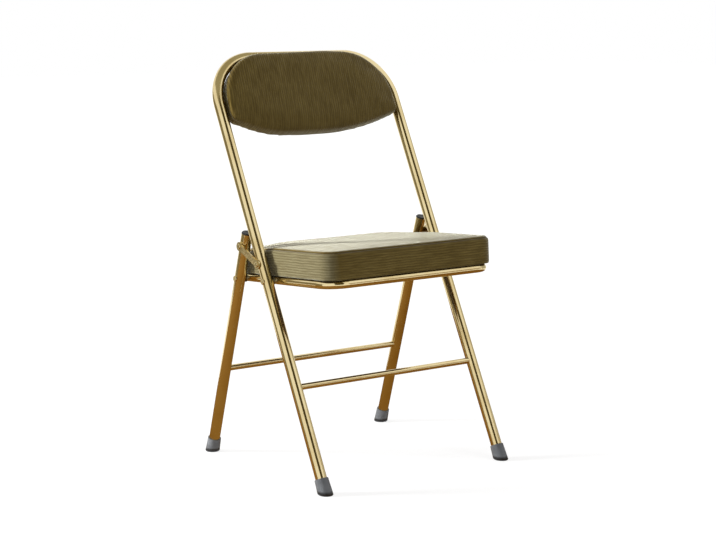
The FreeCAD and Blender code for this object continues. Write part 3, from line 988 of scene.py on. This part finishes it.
class CHAIR_OT_studio(bpy.types.Operator):
    """Set the floor, the lamps, the cards that the tubes mirror, and the camera"""
    bl_idname = "chair.studio"
    bl_label = "Studio"

    def execute(self, context):
        studio = settings()[2]
        scene = context.scene
        scene.view_settings.view_transform = "Standard"
        self.camera(scene, studio)
        self.world(scene, studio)
        self.floor()
        for lamp in LAMPS:
            self.lamp(*lamp)
        for card in CARDS:
            self.card(*card)
        return {"FINISHED"}

    @staticmethod
    def camera(scene, studio):
        data = bpy.data.cameras.new("camera")
        data.lens = studio.lens
        data.sensor_width = SENSOR
        camera = bpy.data.objects.new("camera", data)
        camera.location = studio.camera_place
        camera.rotation_euler = (math.pi / 2 - studio.elevation, 0, studio.azimuth)
        scene.collection.objects.link(camera)
        scene.camera = camera

    @staticmethod
    def world(scene, studio):
        """White where the camera, metal or glass looks, softer as light."""
        world = bpy.data.worlds.new("studio")
        world.use_nodes = True
        scene.world = world
        s = Shader(world.node_tree)
        background = world.node_tree.nodes["Background"].inputs
        background["Color"].default_value = (1, 1, 1, 1)
        s.feed(s.remap(s.seen(), 0.0, 1.0, studio.daylight, 1.0), background["Strength"])

    @staticmethod
    def floor():
        """A pale floor that looks white in the open and still takes a shadow."""
        bpy.ops.object.select_all(action="DESELECT")
        bpy.ops.mesh.primitive_plane_add(size=FLOOR_SIZE, location=(0, 0, -FLOOR_DROP))
        floor = bpy.context.object
        floor.name = "floor"
        material, s, shader = new_material("floor")
        shader["Base Color"].default_value = (0.85, 0.85, 0.85, 1)
        shader["Roughness"].default_value = 0.9
        glow = s.filled("ShaderNodeEmission", Strength=FLOOR_GLOW)
        away = s.node("ShaderNodeVectorMath", operation="LENGTH")
        s.feed(s.place(), away.inputs[0])
        white = s.remap(away.outputs["Value"], *FLOOR_WHITE)
        mix = s.node("ShaderNodeMixShader")
        s.feed(s.math("MULTIPLY", s.seen(), white), mix.inputs[0])
        s.feed(s.tree.nodes["Principled BSDF"].outputs[0], mix.inputs[1])
        s.feed(glow.outputs[0], mix.inputs[2])
        s.surface(mix.outputs[0])
        floor.data.materials.append(material)

    @staticmethod
    def lamp(name, place, aim, width, height, power):
        data = bpy.data.lights.new(name, "AREA")
        data.shape = "RECTANGLE"
        data.size = width
        data.size_y = height
        data.energy = power
        lamp = bpy.data.objects.new(name, data)
        lamp.location = place
        lamp.rotation_euler = aimed(place, aim, "-Z")
        lamp.visible_glossy = False
        bpy.context.scene.collection.objects.link(lamp)

    @staticmethod
    def card(name, place, aim, width, height, colour, far_colour=None):
        """A glowing card that only mirrors show, a painted reflection that draws tones along the tubes,
        shaded across if asked.
        """
        bpy.ops.object.select_all(action="DESELECT")
        bpy.ops.mesh.primitive_plane_add(size=1)
        card = bpy.context.object
        card.name = name
        card.scale = (width, height, 1)
        card.location = place
        card.rotation_euler = aimed(place, aim, "Z")
        card.visible_camera = False
        card.visible_diffuse = False
        card.visible_shadow = False
        card.visible_transmission = False
        material, s, _ = new_material(name)
        glow = s.node("ShaderNodeEmission")
        across = s.rise(s.split(s.place())["X"], *CARD_SHADE)
        s.feed(s.blend(across, colour, far_colour or colour), glow.inputs["Color"])
        s.surface(glow.outputs[0])
        card.data.materials.append(material)


# The add-on

OPERATORS = (CHAIR_OT_gold_tubes, CHAIR_OT_gold_plates, CHAIR_OT_plastic_feet, CHAIR_OT_boards,
             CHAIR_OT_fasteners, CHAIR_OT_seat_cushion, CHAIR_OT_back_cushion, CHAIR_OT_rear_cover,
             CHAIR_OT_studio)
GROUPS = {"chair_finish": ChairFinish, "chair_padding": ChairPadding, "chair_studio": ChairStudio}


class VIEW3D_PT_folding_chair(bpy.types.Panel):
    """Settings and steps of the chair"""
    bl_label = "Folding cafe chair"
    bl_space_type = "VIEW_3D"
    bl_region_type = "UI"
    bl_category = "Chair"

    def draw(self, context):
        for name in GROUPS:
            group = getattr(context.scene, name)
            for key in group.bl_rna.properties.keys():
                if key not in ("rna_type", "name"):
                    self.layout.prop(group, key)
        for operator in OPERATORS:
            self.layout.operator(operator.bl_idname)


def register():
    for group in GROUPS.values():
        bpy.utils.register_class(group)
    for name, group in GROUPS.items():
        setattr(bpy.types.Scene, name, PointerProperty(type=group))
    for operator in OPERATORS:
        bpy.utils.register_class(operator)
    bpy.utils.register_class(VIEW3D_PT_folding_chair)


def unregister():
    bpy.utils.unregister_class(VIEW3D_PT_folding_chair)
    for operator in reversed(OPERATORS):
        bpy.utils.unregister_class(operator)
    for name in GROUPS:
        delattr(bpy.types.Scene, name)
    for group in reversed(GROUPS.values()):
        bpy.utils.unregister_class(group)


def main():
    register()
    for operator in OPERATORS:
        space, step = operator.bl_idname.split(".")
        getattr(getattr(bpy.ops, space), step)()


if __name__ == "__main__":
    main()
